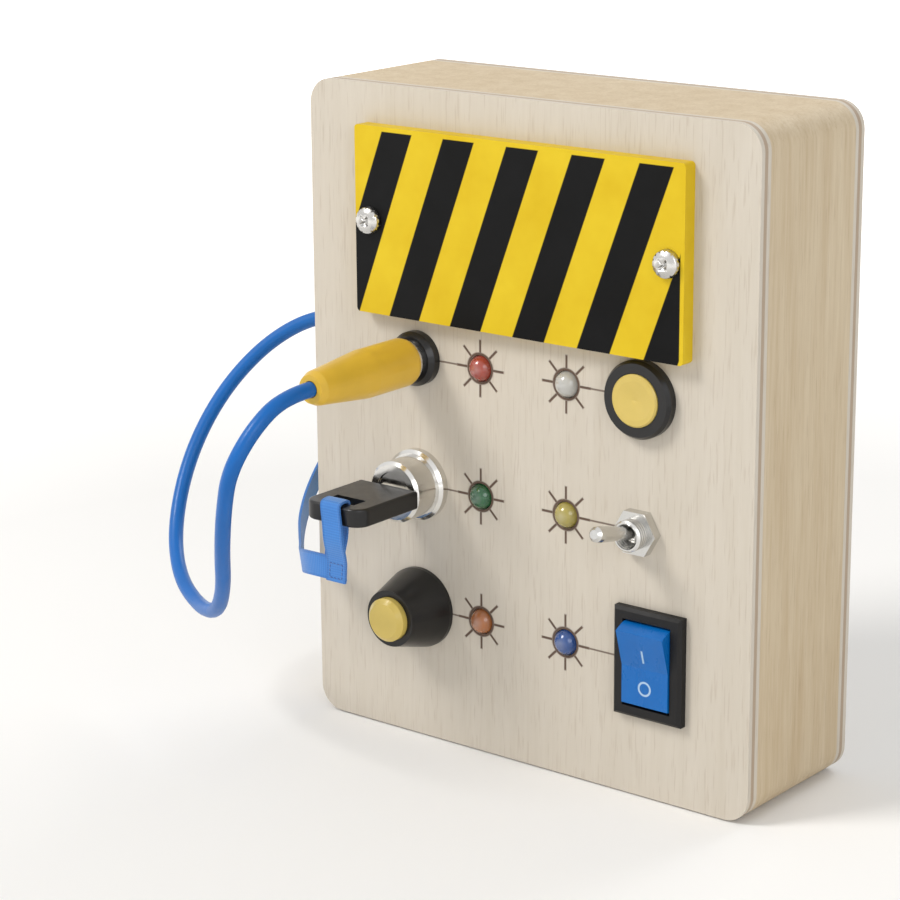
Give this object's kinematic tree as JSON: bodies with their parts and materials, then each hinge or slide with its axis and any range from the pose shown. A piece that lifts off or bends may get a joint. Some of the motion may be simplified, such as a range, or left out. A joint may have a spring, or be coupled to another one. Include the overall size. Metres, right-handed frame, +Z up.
{
  "type": "wooden busy board",
  "caption": "Small upright wooden case with a striped battery cover, two columns of lamps, and a tethered plug, key lock, push buttons, toggle and rocker switch on its front.",
  "frame": {"origin": "centre of the case's flat bottom face, on which it stands", "axes": "+X to the right seen from the front, front face along -Y, +Z up"},
  "size_m": [0.1393, 0.0842, 0.128],
  "materials": {
    "plywood": "satin",
    "solid_wood": "satin",
    "striped_plate": "satin",
    "screw_steel": "satin",
    "black_plastic": "matte",
    "cell_jacket": "gloss",
    "nickel": "polished",
    "lamp_red": "frosted",
    "lamp_white": "frosted",
    "lamp_green": "frosted",
    "lamp_yellow": "frosted",
    "lamp_orange": "frosted",
    "lamp_blue": "frosted",
    "board_green": "gloss",
    "resistor_body": "matte",
    "plug_yellow": "gloss",
    "cord_blue": "matte",
    "chrome": "polished",
    "key_steel": "satin",
    "ribbon_blue": "matte",
    "cap_yellow": "satin",
    "rocker_blue": "gloss",
    "copper_tin": "satin",
    "lead_red": "matte"
  },
  "bodies": {
    "case": {"back_panel": "plywood", "back_screws": "screw_steel", "battery_cells": "cell_jacket", "battery_contacts": "nickel", "battery_cover": "striped_plate", "battery_springs": "nickel", "battery_tray": "black_plastic", "board_screws": "screw_steel", "board_spacers": "black_plastic", "bottom_rail": "solid_wood", "cord_tail": "cord_blue", "cord_tie": "black_plastic", "cover_screws": "screw_steel", "front_panel": "plywood", "inner_leads": "lead_red", "key_ribbon": "ribbon_blue", "latch_bezel": "black_plastic", "latch_spring": "nickel", "led_blue": "lamp_blue", "led_board": "board_green", "led_green": "lamp_green", "led_orange": "lamp_orange", "led_pins": "copper_tin", "led_red": "lamp_red", "led_white": "lamp_white", "led_yellow": "lamp_yellow", "left_rail": "solid_wood", "lock_base": "black_plastic", "lock_body": "chrome", "panel_nuts": "nickel", "plug_cord": "cord_blue", "push_bezel": "black_plastic", "push_spring": "nickel", "resistors": "resistor_body", "ribbon_knot": "ribbon_blue", "right_rail": "solid_wood", "rocker_frame": "black_plastic", "socket_collar": "black_plastic", "socket_nut": "nickel", "socket_sleeve": "nickel", "solder_tabs": "copper_tin", "toggle_body": "black_plastic", "toggle_bushing": "nickel", "toggle_nuts": "nickel", "top_rail": "solid_wood"},
    "plug": {"plug_pin": "nickel", "plug_cage": "nickel", "plug_sleeve": "plug_yellow"},
    "rotor": {"lock_rotor": "chrome"},
    "key": {"key_blade": "key_steel", "key_head": "black_plastic", "key_loop": "ribbon_blue"},
    "push_button": {"push_cap": "cap_yellow"},
    "latch_button": {"latch_cap": "cap_yellow"},
    "toggle": {"toggle_lever": "nickel"},
    "rocker": {"rocker_paddle": "rocker_blue"}
  },
  "joints": [
    {"name": "plug_pull", "type": "slide", "parent": "case", "child": "plug", "axis": [0, -1, 0], "range_m": [0, 0.017], "deforming": ["plug_cord"]},
    {"name": "key_turn", "type": "hinge", "parent": "case", "child": "rotor", "pos_m": [-0.025, -0.02, 0.0515], "axis": [0, 1, 0], "range_deg": [0, 90], "deforming": ["key_ribbon"]},
    {"name": "key_pull", "type": "slide", "parent": "rotor", "child": "key", "axis": [0, -1, 0], "range_m": [0, 0.018], "deforming": ["key_ribbon"]},
    {"name": "push_press", "type": "slide", "parent": "case", "child": "push_button", "axis": [0, 1, 0], "range_m": [0, 0.0018], "stiffness_N_per_m": 600, "springref_m": -0.001, "deforming": ["push_spring"]},
    {"name": "latch_press", "type": "slide", "parent": "case", "child": "latch_button", "axis": [0, 1, 0], "range_m": [0, 0.0025], "deforming": ["latch_spring"]},
    {"name": "toggle_flip", "type": "hinge", "parent": "case", "child": "toggle", "pos_m": [0.0267, -0.0183, 0.0515], "axis": [1, 0, 0], "range_deg": [0, 25]},
    {"name": "rocker_tip", "type": "hinge", "parent": "case", "child": "rocker", "pos_m": [0.0297, -0.0169, 0.0265], "axis": [1, 0, 0], "range_deg": [-16, 0]}
  ]
}
